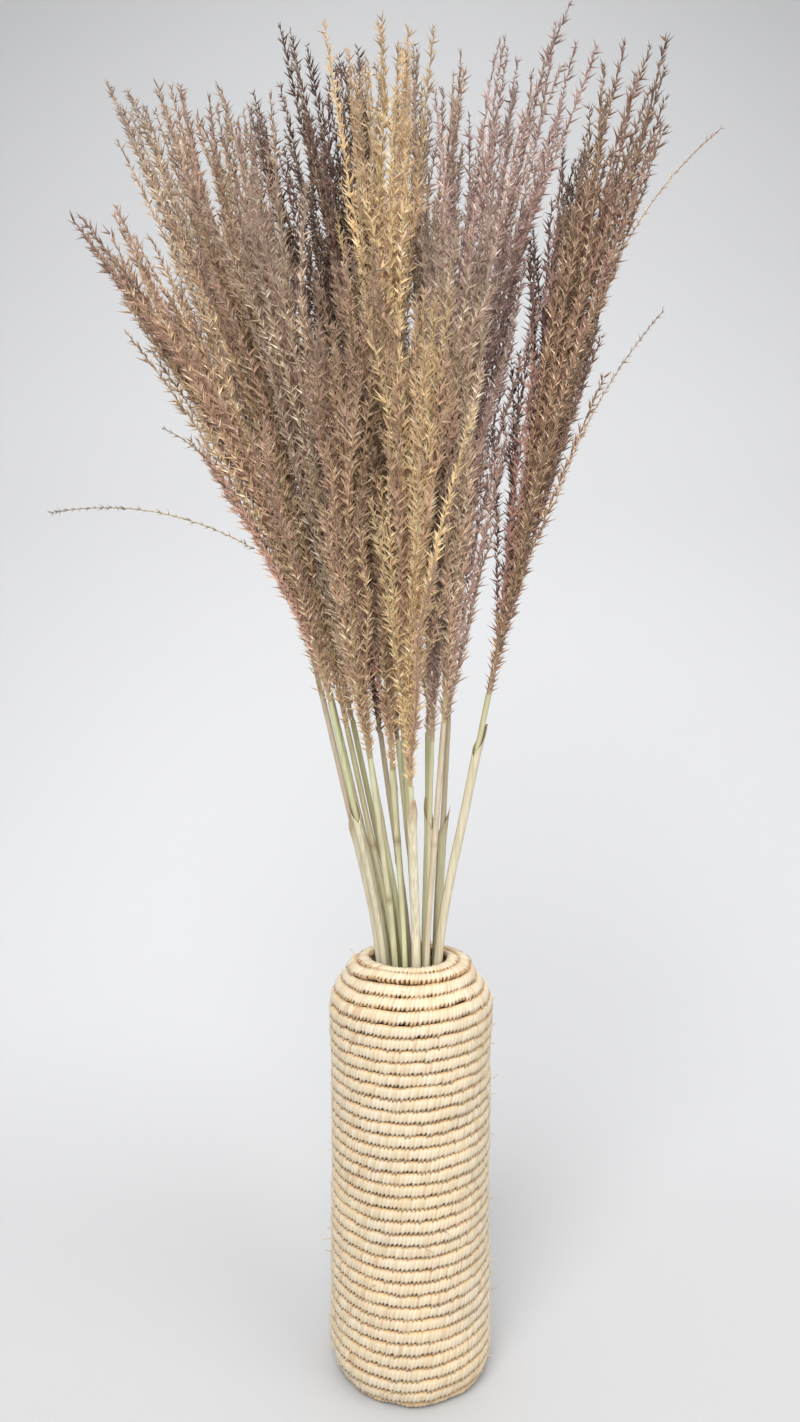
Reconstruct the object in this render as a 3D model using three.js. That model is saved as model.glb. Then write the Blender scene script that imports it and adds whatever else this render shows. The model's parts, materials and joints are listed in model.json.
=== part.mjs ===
// A bunch of cut and dried miscanthus standing in a coiled raffia vase.
// Millimetres, +Z up, origin at the middle of the vase's flat base. The front of the bunch faces -Y.
import * as THREE from "three";

const vase = {
  height: 320, bodyRadius: 63, waistRadius: 61, waistHeight: 190, footRadius: 50, footRise: 20,
  footEase: 1, footLift: 2, waistEase: 2, shoulderEase: 3, shoulderDrop: 12,
  shoulderHeight: 278, mouthRadius: 27, wall: 8, floor: 10, coil: 9, groove: 1.4,
  segments: 32, innerRings: 14,
};
const culm = { radius: 2.4, footHeight: 12, bendStart: 296, bendEnd: 350, sides: 4, steps: 11 };
const sheath = { clearance: 0.3, thickness: 0.7, foot: 376, sides: 4, steps: 4, samples: 44 };
const plume = { gap: 1, neckRadius: 2.7, tipRadius: 2.5, widestAt: 0.58, sides: 10, rings: 9, follow: 0.4 };
const stray = { radius: 1.6, sides: 3, steps: 8 };

// Each stem: where it passes the mouth [x, y], the lean of the culm and the sweep of the plume
// [degrees to +X, to +Y], the heights of the plume's neck and top, and the plume's girth.
const stems = {
  front_left: { mouth: [-11, -19], lean: [-7, -8], sweep: [-4, -9], neck: 475, top: 760, girth: 9 },
  front_mid_left: { mouth: [-4, -19], lean: [-4, -4.5], sweep: [-3.5, -6.5], neck: 465, top: 825, girth: 10 },
  front_mid_right: { mouth: [4, -19], lean: [-2, -10], sweep: [1, -10], neck: 455, top: 785, girth: 14 },
  front_right: { mouth: [11, -19], lean: [4, -5], sweep: [1, -6], neck: 500, top: 845, girth: 12 },
  mid_far_left: { mouth: [-18, -11], lean: [-12, -6], sweep: [-24, -10], neck: 515, top: 840, girth: 16 },
  mid_left: { mouth: [-11, -11], lean: [-12, -1.5], sweep: [-14.5, -1.5], neck: 495, top: 900, girth: 14 },
  mid_centre_left: { mouth: [-4, -11], lean: [-10, -3.5], sweep: [-10.5, -6.5], neck: 480, top: 865, girth: 13 },
  mid_centre: { mouth: [4, -11], lean: [-3.5, -1.5], sweep: [-2, -1.5], neck: 485, top: 995, girth: 17 },
  mid_right: { mouth: [11, -11], lean: [1.5, -1], sweep: [5, -0.5], neck: 485, top: 950, girth: 16 },
  mid_far_right: { mouth: [19, -10], lean: [11, -2], sweep: [13, -4], neck: 520, top: 960, girth: 16 },
  back_far_left: { mouth: [-22, -3], lean: [-13, 0.5], sweep: [-17, 4], neck: 520, top: 990, girth: 15 },
  back_left: { mouth: [-15, -3], lean: [-13.5, 5.5], sweep: [-13.5, 10], neck: 520, top: 1015, girth: 16 },
  back_centre_left: { mouth: [-7, -3], lean: [-12, 2], sweep: [-10, 3], neck: 500, top: 985, girth: 13 },
  back_centre: { mouth: [0, -3], lean: [-8, 5], sweep: [-7.5, 8], neck: 490, top: 1005, girth: 16 },
  back_mid: { mouth: [7, -3], lean: [-6, 2], sweep: [-5.5, 2], neck: 485, top: 1015, girth: 14 },
  back_centre_right: { mouth: [13, -3], lean: [0, 4], sweep: [0, 3.5], neck: 490, top: 1020, girth: 15 },
  back_right: { mouth: [19.5, -3.5], lean: [3, 3], sweep: [7.5, 2.5], neck: 500, top: 1025, girth: 16 },
  rear_right: { mouth: [20, 5], lean: [11.5, 1], sweep: [10, 4], neck: 535, top: 960, girth: 15 },
  rear_centre: { mouth: [-4, 4], lean: [-4, 7], sweep: [0.5, 9], neck: 490, top: 1030, girth: 17 },
};
// How high the leaf sheath left on some of the culms reaches.
const sheathTops = {
  front_mid_right: 448, mid_far_left: 448, mid_right: 450,
  mid_far_right: 505, back_far_left: 430, back_right: 440,
};
// Single racemes that have come away from their plumes and arch out of the bunch: root, middle and tip.
const strays = {
  low_left: [[-111, -51, 624], [-172, -72, 646], [-238, -84, 644]],
  mid_left: [[-131.5, -59.5, 674], [-149, -68, 690], [-165, -72, 700]],
  high_right: [[138.5, -37, 816], [173, -42, 872], [211, -45, 910]],
  mid_right: [[102.5, -30, 658], [131, -44, 727], [171, -50, 784]],
};
const palette = {
  raffia: 0xdccbab, straw: 0xcec8a4, leaf: 0xc3bd96,
  brown: 0x9d8570, gold: 0xb49a77, mauve: 0x917866, dark: 0x6e5848,
};
// Plumes that are not brown.
const tints = {
  front_mid_right: "gold", mid_centre: "gold", mid_right: "mauve", back_right: "mauve",
  back_centre: "dark", back_mid: "dark", rear_right: "dark",
};
const roughness = { raffia: 0.85, straw: 0.6, leaf: 0.7, plume: 0.9 };

const group = new THREE.Group();
group.name = "bundle_of_miscanthus";

function add(name, geometry, color, rough) {
  const mesh = new THREE.Mesh(geometry, new THREE.MeshStandardMaterial({ color, roughness: rough }));
  mesh.name = name;
  group.add(mesh);
}

// The point reached from a start by leaning over while rising to a given height.
function leanTo(start, [leanX, leanY], height) {
  const rise = height - start.z;
  const slope = (degrees) => Math.tan(THREE.MathUtils.degToRad(degrees));
  return new THREE.Vector3(start.x + slope(leanX) * rise, start.y + slope(leanY) * rise, height);
}

// The vase turned in one piece: coils outside, a smooth wall inside, open at the mouth.
function vaseGeometry() {
  const rimRadius = vase.mouthRadius + vase.wall / 2;
  const outline = new THREE.Path();
  outline.moveTo(vase.footRadius, 0);
  outline.quadraticCurveTo(vase.bodyRadius - vase.footEase, vase.footLift, vase.bodyRadius, vase.footRise);
  outline.quadraticCurveTo(
    vase.waistRadius - vase.waistEase, vase.waistHeight, vase.bodyRadius, vase.shoulderHeight);
  outline.quadraticCurveTo(
    vase.bodyRadius - vase.shoulderEase, vase.height - vase.shoulderDrop, rimRadius, vase.height);
  const halfCoils = 2 * Math.round(outline.getLength() / vase.coil);
  const outer = outline.getSpacedPoints(halfCoils).map((point, i) => {
    const depth = i % 2 === 1 || i === 0 || i === halfCoils ? 0 : vase.groove;
    return new THREE.Vector2(point.x - depth, point.y);
  });
  const inner = [];
  const innerTop = vase.height - vase.wall / 2;
  for (let i = 0; i <= vase.innerRings; i++) {
    const t = i / vase.innerRings;
    const height = innerTop + (vase.floor - innerTop) * t;
    const outside = outer.find((point) => point.y >= height);
    inner.push(new THREE.Vector2(Math.max(outside.x - vase.wall - vase.groove, vase.mouthRadius), height));
  }
  const profile = [new THREE.Vector2(0, 0), ...outer, ...inner, new THREE.Vector2(0, vase.floor)];
  return new THREE.LatheGeometry(profile, vase.segments).rotateX(Math.PI / 2);
}

function disc(radius, sides, hole = 0) {
  const shape = new THREE.Shape().absarc(0, 0, radius, 0, 2 * Math.PI, false);
  if (hole > 0) shape.holes.push(new THREE.Path().absarc(0, 0, hole, 0, 2 * Math.PI, true));
  return { shape, curveSegments: sides };
}

function alongPath({ shape, curveSegments }, path, steps) {
  return new THREE.ExtrudeGeometry(shape, { extrudePath: path, steps, curveSegments, bevelEnabled: false });
}

// Upright inside the vase, then over the mouth and out to the neck of the plume.
function culmPath(stem) {
  const mouth = new THREE.Vector3(stem.mouth[0], stem.mouth[1], (culm.bendStart + culm.bendEnd) / 2);
  const low = (height) => new THREE.Vector3(mouth.x, mouth.y, height);
  return new THREE.CatmullRomCurve3([
    low(culm.footHeight), low(culm.bendStart / 2), low(culm.bendStart),
    leanTo(mouth, stem.lean, culm.bendEnd),
    leanTo(mouth, stem.lean, (culm.bendEnd + stem.neck) / 2),
    leanTo(mouth, stem.lean, stem.neck),
  ]);
}

// Leaves the neck in line with the culm and eases over into the plume's own sweep.
function plumePath(stem, neck) {
  const base = neck.clone().setZ(neck.z + plume.gap);
  const tip = leanTo(base, stem.sweep, stem.top);
  const eased = leanTo(base, stem.lean, base.z + (stem.top - base.z) * plume.follow);
  return new THREE.QuadraticBezierCurve3(base, eased, tip);
}

// A spindle of level rings threaded on the path: a narrow neck, widest above the middle, a blunt top.
function plumeGeometry(path, girth) {
  const profile = [new THREE.Vector2(0, 0)];
  for (let i = 0; i <= plume.rings; i++) {
    const t = i / plume.rings;
    const swell = t < plume.widestAt
      ? Math.sin((t / plume.widestAt) * (Math.PI / 2))
      : Math.cos(((t - plume.widestAt) / (1 - plume.widestAt)) * (Math.PI / 2));
    const end = t < plume.widestAt ? plume.neckRadius : plume.tipRadius;
    profile.push(new THREE.Vector2(end + (girth - end) * swell, t));
  }
  profile.push(new THREE.Vector2(0, 1));
  const geometry = new THREE.LatheGeometry(profile, plume.sides);
  const position = geometry.attributes.position;
  for (let i = 0; i < position.count; i++) {
    const centre = path.getPoint(position.getY(i));
    position.setXYZ(i, centre.x + position.getX(i), centre.y - position.getZ(i), centre.z);
  }
  geometry.computeVertexNormals();
  return geometry;
}

// A leaf sheath hugs the straight of its culm, up to where the leaf was cut away.
function sheathPath(path, top) {
  const points = path.getSpacedPoints(sheath.samples).filter(({ z }) => z > sheath.foot && z < top);
  return new THREE.CatmullRomCurve3(points);
}

add("vase", vaseGeometry(), palette.raffia, roughness.raffia);
for (const [name, stem] of Object.entries(stems)) {
  const path = culmPath(stem);
  const straw = alongPath(disc(culm.radius, culm.sides), path, culm.steps);
  add(`culm_${name}`, straw, palette.straw, roughness.straw);
  const top = path.getPoint(1);
  const brush = plumeGeometry(plumePath(stem, top), stem.girth);
  add(`plume_${name}`, brush, palette[tints[name] ?? "brown"], roughness.plume);
  if (name in sheathTops) {
    const inner = culm.radius + sheath.clearance;
    const ring = disc(inner + sheath.thickness, sheath.sides, inner);
    const route = sheathPath(path, sheathTops[name]);
    add(`sheath_${name}`, alongPath(ring, route, sheath.steps), palette.leaf, roughness.leaf);
  }
}
for (const [name, points] of Object.entries(strays)) {
  const path = new THREE.CatmullRomCurve3(points.map((point) => new THREE.Vector3(...point)));
  const raceme = alongPath(disc(stray.radius, stray.sides), path, stray.steps);
  add(`stray_raceme_${name}`, raceme, palette.brown, roughness.plume);
}

export default group;
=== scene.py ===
import json
import math

import bpy
import numpy as np
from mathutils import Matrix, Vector

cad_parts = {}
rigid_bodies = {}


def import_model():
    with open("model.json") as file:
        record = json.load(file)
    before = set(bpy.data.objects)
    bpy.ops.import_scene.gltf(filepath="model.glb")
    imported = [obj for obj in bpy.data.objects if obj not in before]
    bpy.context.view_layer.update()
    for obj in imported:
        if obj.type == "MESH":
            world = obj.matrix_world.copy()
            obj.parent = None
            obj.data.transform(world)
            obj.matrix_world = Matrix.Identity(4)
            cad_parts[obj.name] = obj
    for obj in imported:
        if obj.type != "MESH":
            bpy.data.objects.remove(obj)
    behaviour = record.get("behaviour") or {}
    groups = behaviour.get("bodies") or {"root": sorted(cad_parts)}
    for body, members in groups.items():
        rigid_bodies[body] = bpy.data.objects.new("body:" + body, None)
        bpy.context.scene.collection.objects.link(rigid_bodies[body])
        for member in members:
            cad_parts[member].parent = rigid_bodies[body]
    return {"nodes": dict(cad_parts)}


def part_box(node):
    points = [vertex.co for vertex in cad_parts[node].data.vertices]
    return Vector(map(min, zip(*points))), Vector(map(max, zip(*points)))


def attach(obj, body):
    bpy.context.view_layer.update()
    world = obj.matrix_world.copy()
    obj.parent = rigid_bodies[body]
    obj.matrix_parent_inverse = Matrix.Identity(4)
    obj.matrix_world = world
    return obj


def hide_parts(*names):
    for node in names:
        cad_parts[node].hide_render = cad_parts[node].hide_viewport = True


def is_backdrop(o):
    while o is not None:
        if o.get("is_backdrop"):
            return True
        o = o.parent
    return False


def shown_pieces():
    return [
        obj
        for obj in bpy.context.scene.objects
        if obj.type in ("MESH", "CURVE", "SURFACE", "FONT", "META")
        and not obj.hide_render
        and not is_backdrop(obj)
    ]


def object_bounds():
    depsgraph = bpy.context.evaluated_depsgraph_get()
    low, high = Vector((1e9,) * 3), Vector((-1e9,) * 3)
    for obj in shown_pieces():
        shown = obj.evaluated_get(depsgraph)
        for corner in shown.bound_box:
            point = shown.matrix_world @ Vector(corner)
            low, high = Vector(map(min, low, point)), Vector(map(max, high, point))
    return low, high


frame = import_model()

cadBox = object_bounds()
mm = 0.001
scene = bpy.context.scene


# small helpers

def srgb(r, g, b):  # screen values 0-255 to a linear colour
    def linear(c):
        c /= 255
        return c / 12.92 if c <= 0.04045 else ((c + 0.055) / 1.055) ** 2.4
    return (linear(r), linear(g), linear(b), 1.0)


def meshObject(name, verts, faces=(), edges=(), attributes=()):
    mesh = bpy.data.meshes.new(name)
    mesh.from_pydata([tuple(v) for v in verts], edges, faces)
    for key, (kind, values) in dict(attributes).items():
        field = "vector" if kind == "FLOAT_VECTOR" else "value"
        data = mesh.attributes.new(key, kind, "POINT").data
        data.foreach_set(field, np.ravel(values).astype(np.float32))
    obj = bpy.data.objects.new(name, mesh)
    scene.collection.objects.link(obj)
    return obj


def finishPiece(obj, slotName, *nodes, smooth=True):
    obj.data.shade_smooth() if smooth else obj.data.shade_flat()
    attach(obj, "root")
    if nodes:
        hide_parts(*nodes)
    return obj


def inputsOf(kind, *labels):  # the same kind of input for each label of a node tree
    return [(label, "NodeSocket" + kind) for label in labels]


class NodeMaker:  # keeps node building short, for geometry and materials alike
    def __init__(self, tree):
        self.tree = tree

    def add(self, kind, inputs=None, **settings):
        node = self.tree.nodes.new(kind)
        for key, value in settings.items():
            setattr(node, key, value)
        for key, value in (inputs or {}).items():
            self.put(node, key, value)
        return node

    def put(self, node, key, value):  # an input by number or name, set to a value or linked
        if isinstance(key, int):
            socket = node.inputs[key]
        else:
            socket = next(s for s in node.inputs if s.name == key and s.enabled)
        if isinstance(value, bpy.types.Node):
            value = self.out(value)
        if isinstance(value, bpy.types.NodeSocket):
            self.tree.links.new(value, socket)
        else:
            socket.default_value = value

    def out(self, node, name=None):
        return next(s for s in node.outputs if s.enabled and (name is None or s.name == name))

    def math(self, operation, a, b=0.0):
        return self.add("ShaderNodeMath", {0: a, 1: b}, operation=operation)


class Tree(NodeMaker):  # one geometry node group, fed by its guide's mesh and the given inputs
    def __init__(self, name, inputs):
        super().__init__(bpy.data.node_groups.new(name, "GeometryNodeTree"))
        face = self.tree.interface
        for label, socketType in inputsOf("Geometry", "Geometry") + inputs:
            face.new_socket(label, in_out="INPUT", socket_type=socketType)
        face.new_socket("Geometry", in_out="OUTPUT", socket_type="NodeSocketGeometry")
        self.given = self.add("NodeGroupInput")
        self.result = self.add("NodeGroupOutput")

    def vector(self, operation, a, b=None, scale=None):
        inputs = {0: a}
        if b is not None:
            inputs[1] = b
        if scale is not None:
            inputs["Scale"] = scale
        return self.add("ShaderNodeVectorMath", inputs, operation=operation)

    def named(self, name, kind="FLOAT"):
        node = self.add("GeometryNodeInputNamedAttribute", {"Name": name}, data_type=kind)
        return self.out(node, "Attribute")

    def randomFloat(self, low, high, seed, ident=None):
        node = self.add("FunctionNodeRandomValue", {2: low, 3: high, "Seed": seed}, data_type="FLOAT")
        if ident is not None:
            self.put(node, "ID", ident)
        return node.outputs[1]

    def store(self, geometry, name, value, kind="FLOAT"):
        inputs = {"Geometry": geometry, "Name": name, "Value": value}
        return self.add("GeometryNodeStoreNamedAttribute", inputs, data_type=kind, domain="POINT")

    def ring(self, sides, radius):
        inputs = {"Resolution": sides, "Radius": radius}
        return self.add("GeometryNodeCurvePrimitiveCircle", inputs, mode="RADIUS")

    def resample(self, curve, count):
        inputs = {"Curve": curve, "Count": count}
        return self.add("GeometryNodeResampleCurve", inputs, mode="COUNT")

    def sweep(self, curve, profile):
        inputs = {"Curve": curve, "Profile Curve": profile, "Fill Caps": True}
        return self.add("GeometryNodeCurveToMesh", inputs)

    def swollenTube(self, curve, profile):  # a tube as thick at each point as its girth says
        here = self.add("GeometryNodeInputPosition")
        curve = self.store(curve, "middle", here, kind="FLOAT_VECTOR")
        middle = self.named("middle", "FLOAT_VECTOR")
        outwards = self.vector("SCALE", self.vector("SUBTRACT", here, middle), scale=self.named("girth"))
        place = self.vector("ADD", middle, outwards)
        inputs = {"Geometry": self.sweep(curve, profile), "Position": place}
        return self.add("GeometryNodeSetPosition", inputs)

    def finish(self, geometry, material):
        whole = self.add("GeometryNodeRealizeInstances", {"Geometry": geometry})
        painted = self.add("GeometryNodeSetMaterial", {"Geometry": whole, "Material": material})
        self.put(self.result, "Geometry", painted)
        return self.tree


def grow(obj, tree, values):  # runs a tree on a guide object and returns the result as a plain mesh object
    modifier = obj.modifiers.new("grow", "NODES")
    modifier.node_group = tree
    identifiers = {i.name: i.identifier for i in tree.interface.items_tree if i.in_out == "INPUT"}
    for label, value in values.items():
        modifier[identifiers[label]] = value
    bpy.context.view_layer.update()
    depsgraph = bpy.context.evaluated_depsgraph_get()
    mesh = bpy.data.meshes.new_from_object(obj.evaluated_get(depsgraph), depsgraph=depsgraph)
    name = obj.name.removesuffix("_guide")
    bpy.data.objects.remove(obj)
    grown = bpy.data.objects.new(name, mesh)
    mesh.name = name
    scene.collection.objects.link(grown)
    return grown


# what the frame says

def nodeVertices(node):
    mesh = frame["nodes"][node].data
    points = np.empty(len(mesh.vertices) * 3)
    mesh.vertices.foreach_get("co", points)
    return points.reshape(-1, 3)


def ringsOf(node, gap=4 * mm):  # centre and radius of each level ring of an upright tube or spindle
    points = nodeVertices(node)
    points = points[np.argsort(points[:, 2])]
    cuts = np.where(np.diff(points[:, 2]) > gap)[0] + 1
    groups = np.split(points, cuts)
    centres = np.array([(g.max(0) + g.min(0)) / 2 for g in groups])
    radii = np.array([np.ptp(g[:, 0]) / 2 for g in groups])
    return centres, radii


def along(points, count):  # the same route with evenly spaced points, smoothed through the given ones
    s = lengthAlong(points)
    even = np.linspace(0, s[-1], count)
    slopes = np.gradient(points, s, axis=0)
    seg = np.clip(np.searchsorted(s, even, side="right") - 1, 0, len(s) - 2)
    h = (s[seg + 1] - s[seg])[:, None]
    t = ((even - s[seg]) / (s[seg + 1] - s[seg]))[:, None]
    return ((1 + 2 * t) * (1 - t) ** 2 * points[seg] + t * (1 - t) ** 2 * h * slopes[seg]
            + t * t * (3 - 2 * t) * points[seg + 1] + t * t * (t - 1) * h * slopes[seg + 1])


def lengthAlong(points):  # distance from the first point to each point of a route
    return np.concatenate([[0], np.cumsum(np.linalg.norm(np.diff(points, axis=0), axis=1))])


def chain(count, first=0):  # edges that join each point to the next
    return [(first + i, first + i + 1) for i in range(count - 1)]


# material building

class Finish(NodeMaker):  # one procedural material around a Principled shader
    def __init__(self, name, roughness, **fixed):
        self.material = bpy.data.materials.new(name)
        self.material.use_nodes = True
        super().__init__(self.material.node_tree)
        self.shader = self.tree.nodes["Principled BSDF"]
        self.put(self.shader, "Roughness", roughness)
        for key, value in fixed.items():
            self.put(self.shader, key.replace("_", " "), value)

    def attribute(self, name):
        return self.add("ShaderNodeAttribute", attribute_name=name).outputs["Fac"]

    def noise(self, scale, stretch=(1, 1, 1), detail=3.0):
        place = self.add("ShaderNodeTexCoord").outputs["Object"]
        mapped = self.add("ShaderNodeMapping", {"Vector": place, "Scale": stretch}).outputs[0]
        inputs = {"Vector": mapped, "Scale": scale, "Detail": detail}
        return self.add("ShaderNodeTexNoise", inputs).outputs["Fac"]

    def ramp(self, factor, *stops):
        node = self.add("ShaderNodeValToRGB", {"Fac": factor})
        elements = node.color_ramp.elements
        while len(elements) < len(stops):
            elements.new(0.5)
        for element, (place, colour) in zip(elements, stops):
            element.position = place
            element.color = colour
        return node.outputs["Color"]

    def span(self, value, low, high, toLow=0.0, toHigh=1.0):
        inputs = {"Value": value, "From Min": low, "From Max": high, "To Min": toLow, "To Max": toHigh}
        return self.add("ShaderNodeMapRange", inputs).outputs["Result"]

    def mix(self, factor, a, b, blend="MIX"):
        node = self.add("ShaderNodeMix", data_type="RGBA", blend_type=blend)
        self.put(node, 0, factor)
        self.put(node, 6, a)
        self.put(node, 7, b)
        return node.outputs[2]

    def times(self, a, b):
        return self.math("MULTIPLY", a, b)

    def grey(self, red, blue=None):  # one value as a grey, or with its own blue
        inputs = {"Red": red, "Green": red, "Blue": red if blue is None else blue}
        return self.add("ShaderNodeCombineColor", inputs)

    def colour(self, value):
        self.put(self.shader, "Base Color", value)

    def bump(self, height, strength, distance):
        inputs = {"Height": height, "Strength": strength, "Distance": distance}
        self.put(self.shader, "Normal", self.add("ShaderNodeBump", inputs))


# camera, stage and light: a pale paper floor that curves up into the wall

cameraSet = {
    "place": (-0.0083, -0.720, 0.5445), "pitch": -3.0, "lens": 24.05, "sensor": 36.0, "near": 0.02,
}
stageSet = {
    "width": 6.0, "back": 1.5, "curve": 0.9, "curveSteps": 16, "roughness": 0.9, "blueness": 1.01,
    # [y, tone] along the floor, then [z, tone] up the wall: the pale paper with painted shade, brightest
    # where floor meets wall, darker towards the front and up the wall
    "floorPaintedShading": [(-2.4, 0.46), (-0.2, 0.475), (0.2, 0.53), (0.6, 0.63)],
    "wallPaintedShading": [(0.0, 0.635), (0.75, 0.6), (1.1, 0.57), (1.5, 0.5), (2.0, 0.435), (3.2, 0.41)],
}
lightSet = {
    "key": {"place": (-0.4, -1.45, 1.9), "aim": (0, 0, 0.5), "size": 1.4, "power": 46},
    "fill": {"place": (1.4, -1.1, 1.2), "aim": (0, 0, 0.5), "size": 1.8, "power": 15},
    "top": {"place": (0, 0.2, 2.4), "aim": (0, 0.1, 0), "size": 2.0, "power": 19},
    "world": 0.63, "worldColour": (0.97, 0.985, 1.0, 1),
}


def makeCamera():
    data = bpy.data.cameras.new("camera")
    data.lens = cameraSet["lens"]
    data.sensor_width = cameraSet["sensor"]
    data.clip_start = cameraSet["near"]
    camera = bpy.data.objects.new("camera", data)
    camera.location = cameraSet["place"]
    camera.rotation_euler = (math.radians(90 + cameraSet["pitch"]), 0, 0)
    scene.collection.objects.link(camera)
    scene.camera = camera


def makeStageFinish():
    f = Finish("paleStage", stageSet["roughness"], Specular_IOR_Level=0.2)
    # the paper's tone carries painted shade: darker towards the front of the floor and up the wall
    tone = f.attribute("paleness")
    f.colour(f.grey(tone, blue=f.times(tone, stageSet["blueness"])))
    return f.material


def makeStage():
    c, back, steps = stageSet["curve"], stageSet["back"], stageSet["curveSteps"]
    profile = [(y, 0.0, tone) for y, tone in stageSet["floorPaintedShading"]]
    levels, tones = zip(*stageSet["wallPaintedShading"])
    for i in range(1, steps + 1):
        a = math.radians(90 * i / steps)
        z = c - c * math.cos(a)
        profile.append((back - c + c * math.sin(a), z, np.interp(z, levels, tones)))
    profile += [(back, z, tone) for z, tone in stageSet["wallPaintedShading"] if z > c]
    half = stageSet["width"] / 2
    verts = [(x, y, z) for y, z, _ in profile for x in (-half, half)]
    faces = [(2 * i, 2 * i + 1, 2 * i + 3, 2 * i + 2) for i in range(len(profile) - 1)]
    stage = meshObject("stage", verts, faces, attributes={
        "paleness": ("FLOAT", [tone for _, _, tone in profile for _ in range(2)])})
    stage.data.shade_smooth()
    stage.data.materials.append(makeStageFinish())
    stage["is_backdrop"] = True


def makeLights():
    for name in ("key", "fill", "top"):
        spec = lightSet[name]
        data = bpy.data.lights.new(name, "AREA")
        data.shape = "DISK"
        data.size = spec["size"]
        data.energy = spec["power"]
        light = bpy.data.objects.new(name, data)
        light.location = spec["place"]
        towards = Vector(spec["aim"]) - Vector(spec["place"])
        light.rotation_euler = towards.to_track_quat("-Z", "Y").to_euler()
        scene.collection.objects.link(light)
    world = bpy.data.worlds.new("softRoom")
    world.use_nodes = True
    background = world.node_tree.nodes["Background"].inputs
    background["Color"].default_value = lightSet["worldColour"]
    background["Strength"].default_value = lightSet["world"]
    scene.world = world
    scene.view_settings.view_transform = "Standard"


makeCamera()
makeStage()
makeLights()
print("camera, stage and lights are in place")


# the coiled raffia vase: one spiral of cord, from the middle of the base to the rim

vaseSet = {
    "coilPitch": 9 * mm, "halfThickness": 3.3 * mm, "halfHeight": 5.0 * mm, "strandWidth": 3.0 * mm,
    "relief": 0.4 * mm, "grooveRelief": 1.7 * mm, "reliefJitter": 0.3 * mm, "tooth": 1.9 * mm,
    "slant": 0.25, "wander": 1.3 * mm, "crowd": 0.6 * mm, "seed": 11,
    # the outline: how far from a level its points are taken, and how they are smoothed
    "levelReach": 0.55, "smoothing": [0.2, 0.6, 0.2],
    # the cord's route: out from the eye of the flat base, round the foot and up the wall to the rim
    "eye": 2 * mm, "footShare": 0.8, "footPast": 2 * mm, "footLift": 1.25, "wallFrom": 2.2,
    "baseSteps": 30, "wallSteps": 160, "routeSteps": 700, "guideStep": 6 * mm, "tightest": 4 * mm,
    "rimTaper": 40 * mm, "rimGirth": 0.25,
    # the cord's section: its corners in fractions of a turn, 0 facing outwards
    "corners": [0.055, 0.175, 0.39, 0.61, 0.825, 0.945],
    "fullness": 0.55, "crest": 0.3, "hookJitter": 0.7, "hookRise": 0.5,
    "waverScale": 30.0, "waverGain": 4.0,
}
coilMeasures = {
    "Half Thickness": "halfThickness", "Half Height": "halfHeight", "Relief": "relief",
    "Groove Relief": "grooveRelief", "Relief Jitter": "reliefJitter", "Tooth": "tooth", "Slant": "slant",
    "Wander": "wander", "Crowd": "crowd",
}
fibreSet = {
    "faces": 900, "density": 80000.0, "seed": 5, "radius": 0.00025, "low": 12 * mm, "belowRim": 2 * mm,
    "bend": {"Start": (0, 0, -0.0005), "Middle": (0.001, 0, 0.0035), "End": (0.004, 0, 0.0055)},
    "tip": (0.5, 1.5), "spin": (0.0, 6.28), "scale": (0.4, 1.5),
}


def vaseOutline():  # [radius, height] of the coil's centre line from the middle of the base to the rim
    points = nodeVertices("vase")
    radius = np.hypot(points[:, 0], points[:, 1])
    height = points[:, 2]
    top = height.max()
    levels = np.arange(0, top + 1e-6, vaseSet["coilPitch"])
    outline = []
    for level in levels:
        near = np.abs(height - level) < vaseSet["coilPitch"] * vaseSet["levelReach"]
        outline.append((radius[near].max(), level))
    outline = np.array(outline)
    padded = np.pad(outline[:, 0], 1, mode="edge")
    outline[:, 0] = np.convolve(padded, vaseSet["smoothing"], mode="valid")
    return np.vstack([outline, [radius[height > top - 0.1 * mm].min(), top]])


def coilRoute():  # [radius, height] of the cord's middle, from the eye of the base to the rim
    inset = vaseSet["halfThickness"]
    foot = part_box("vase")[1].x * vaseSet["footShare"]
    side = along(vaseOutline()[1:], vaseSet["wallSteps"])
    tangent = np.gradient(side, axis=0)
    tangent /= np.linalg.norm(tangent, axis=1)[:, None]
    normal = np.stack([tangent[:, 1], -tangent[:, 0]], 1)
    wall = side - normal * inset
    steps = vaseSet["baseSteps"]
    base = np.stack([np.linspace(vaseSet["eye"], foot - inset, steps), np.full(steps, inset)], 1)
    bend = np.array([[foot + vaseSet["footPast"], inset * vaseSet["footLift"]]])
    route = np.vstack([base, bend, wall[wall[:, 1] > inset * vaseSet["wallFrom"]]])
    return along(route, vaseSet["routeSteps"])


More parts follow.
